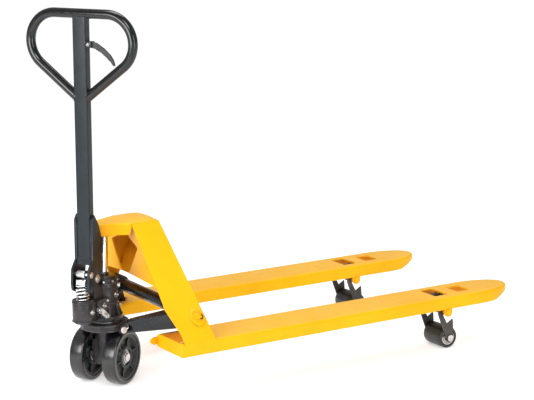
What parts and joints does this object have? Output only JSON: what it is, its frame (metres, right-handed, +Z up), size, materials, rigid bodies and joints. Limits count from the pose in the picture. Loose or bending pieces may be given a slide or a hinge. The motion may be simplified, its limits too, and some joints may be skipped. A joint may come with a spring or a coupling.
{
  "type": "pallet jack",
  "caption": "Hand pallet jack with raised forks, a steered hydraulic pump unit, steer wheels, load rollers, an upright handle with a loop grip and a hand lever.",
  "frame": {"origin": "on the floor under the ram axis, which is the steering axis", "axes": "+X towards the fork tips, +Y to the left of the forks, +Z up"},
  "size_m": [1.6193, 0.693, 1.198],
  "materials": {
    "frame_paint": "yellow gloss enamel",
    "pump_paint": "black satin enamel",
    "rocker_paint": "black gloss enamel",
    "handle_paint": "dark blue-grey powder coat",
    "loop_paint": "black gloss powder coat",
    "lever_coat": "grey-black satin",
    "chrome": "hard chrome",
    "zinc": "zinc plate",
    "steer_tread": "dark polyurethane, polished by rolling",
    "wheel_hub": "ribbed dark hub",
    "load_tread": "dark polyurethane",
    "truck_paint": "worn dark grey",
    "bearing_steel": "ground steel"
  },
  "bodies": {
    "chassis": {"fork_left": "frame_paint", "fork_right": "frame_paint", "leg_plate_left": "frame_paint", "leg_plate_right": "frame_paint", "leg_gusset_left": "frame_paint", "leg_gusset_right": "frame_paint", "apron_plate": "frame_paint", "head_hood": "frame_paint", "ram_seat": "frame_paint", "ram": "chrome", "rocker_pivot_pins": "frame_paint", "load_pivot_shafts": "frame_paint"},
    "carriage": {"swivel_collar": "pump_paint", "collar_trunnions": "zinc", "thrust_bearing": "zinc"},
    "pump_unit": {"pump_housing": "pump_paint", "cylinder_gland": "pump_paint", "pump_barrel": "pump_paint", "steer_axle": "zinc", "axle_nuts": "zinc", "handle_hinge_pin": "zinc", "release_valve": "zinc", "filler_plug": "zinc", "return_spring": "chrome"},
    "steer_wheel_left": {"steer_tyre_left": "steer_tread", "steer_hub_left": "wheel_hub", "steer_bearing_left": "bearing_steel"},
    "steer_wheel_right": {"steer_tyre_right": "steer_tread", "steer_hub_right": "wheel_hub", "steer_bearing_right": "bearing_steel"},
    "handle": {"handle_tube": "handle_paint", "handle_yoke": "handle_paint", "handle_loop": "loop_paint", "roller_axle": "zinc", "control_bracket": "handle_paint"},
    "press_roller": {"yoke_roller": "zinc"},
    "piston": {"pump_piston": "chrome"},
    "hand_lever": {"control_lever": "lever_coat"},
    "control_link": {"control_rod": "zinc"},
    "valve_arm": {"release_arm": "zinc"},
    "rocker": {"torque_tube": "rocker_paint", "rocker_arm_left": "rocker_paint", "rocker_arm_right": "rocker_paint", "down_levers": "rocker_paint", "lever_pins": "zinc"},
    "rod_left": {"push_rod_left": "rocker_paint"},
    "rod_right": {"push_rod_right": "rocker_paint"},
    "truck_left": {"load_frame_left": "truck_paint", "load_axle_left": "zinc"},
    "truck_right": {"load_frame_right": "truck_paint", "load_axle_right": "zinc"},
    "load_wheel_left": {"load_roller_left": "load_tread", "load_bearings_left": "bearing_steel"},
    "load_wheel_right": {"load_roller_right": "load_tread", "load_bearings_right": "bearing_steel"}
  },
  "joints": [
    {"name": "lift_slide", "type": "slide", "parent": "chassis", "child": "carriage", "axis": [0, 0, 1], "range_m": [0, 0.106]},
    {"name": "rocker_pivot", "type": "hinge", "parent": "chassis", "child": "rocker", "pos_m": [0.17, 0, 0.254], "axis": [0, 1, 0], "range_deg": [0, 38]},
    {"name": "rod_pivot_left", "type": "hinge", "parent": "rocker", "child": "rod_left", "pos_m": [0.19707, 0.2525, 0.17448], "axis": [0, 1, 0], "range_deg": [-38, 0]},
    {"name": "truck_pivot_left", "type": "hinge", "parent": "chassis", "child": "truck_left", "pos_m": [1.12, 0.2645, 0.137], "axis": [0, 1, 0], "range_deg": [-78.5, 0]},
    {"name": "load_wheel_spin_left", "type": "hinge", "parent": "truck_left", "child": "load_wheel_left", "pos_m": [1.147, 0.2645, 0.037], "axis": [0, 1, 0], "continuous": true},
    {"name": "rod_pivot_right", "type": "hinge", "parent": "rocker", "child": "rod_right", "pos_m": [0.19707, -0.2525, 0.17448], "axis": [0, 1, 0], "range_deg": [-38, 0]},
    {"name": "truck_pivot_right", "type": "hinge", "parent": "chassis", "child": "truck_right", "pos_m": [1.12, -0.2645, 0.137], "axis": [0, 1, 0], "range_deg": [-78.5, 0]},
    {"name": "load_wheel_spin_right", "type": "hinge", "parent": "truck_right", "child": "load_wheel_right", "pos_m": [1.147, -0.2645, 0.037], "axis": [0, 1, 0], "continuous": true},
    {"name": "steer", "type": "hinge", "parent": "carriage", "child": "pump_unit", "pos_m": [0, 0, 0.15], "axis": [0, 0, 1], "range_deg": [-100, 36]},
    {"name": "steer_wheel_spin_left", "type": "hinge", "parent": "pump_unit", "child": "steer_wheel_left", "pos_m": [-0.03144, 0.04992, 0.0885], "axis": [-0.5329, 0.8462, 0], "continuous": true},
    {"name": "steer_wheel_spin_right", "type": "hinge", "parent": "pump_unit", "child": "steer_wheel_right", "pos_m": [0.03144, -0.04992, 0.0885], "axis": [-0.5329, 0.8462, 0], "continuous": true},
    {"name": "handle_tilt", "type": "hinge", "parent": "pump_unit", "child": "handle", "pos_m": [-0.08039, -0.05062, 0.363], "axis": [0.5329, -0.8462, 0], "range_deg": [0, 65], "stiffness_Nm_per_rad": 45, "springref_deg": -11.46},
    {"name": "press_roller_spin", "type": "hinge", "parent": "handle", "child": "press_roller", "pos_m": [-0.11001, -0.06927, 0.381], "axis": [-0.5329, 0.8462, 0], "continuous": true},
    {"name": "piston_slide", "type": "slide", "parent": "pump_unit", "child": "piston", "axis": [0, 0, 1], "range_m": [-0.043, 0], "deforming": ["return_spring"]},
    {"name": "hand_lever_pivot", "type": "hinge", "parent": "handle", "child": "hand_lever", "pos_m": [-0.07064, -0.08112, 1.091], "axis": [0.8462, 0.5329, 0], "range_deg": [-12, 12], "stiffness_Nm_per_rad": 2},
    {"name": "control_link_slide", "type": "slide", "parent": "handle", "child": "control_link", "axis": [0, 0, 1], "range_m": [-0.005, 0.005]},
    {"name": "valve_arm_pivot", "type": "hinge", "parent": "pump_unit", "child": "valve_arm", "pos_m": [-0.02955, -0.06943, 0.236], "axis": [-0.5329, 0.8462, 0], "range_deg": [-13, 13]}
  ],
  "couplings": [
    {"joint": "rocker_pivot", "follows": "lift_slide", "rad_per_m": 6.1905},
    {"joint": "rod_pivot_left", "follows": "lift_slide", "rad_per_m": -6.1905},
    {"joint": "rod_pivot_right", "follows": "lift_slide", "rad_per_m": -6.1905},
    {"joint": "truck_pivot_left", "follows": "lift_slide", "rad_per_m": -12.878},
    {"joint": "truck_pivot_right", "follows": "lift_slide", "rad_per_m": -12.878},
    {"joint": "piston_slide", "follows": "handle_tilt", "m_per_rad": -0.03711},
    {"joint": "control_link_slide", "follows": "hand_lever_pivot", "m_per_rad": 0.023},
    {"joint": "valve_arm_pivot", "follows": "hand_lever_pivot", "ratio": -1}
  ]
}
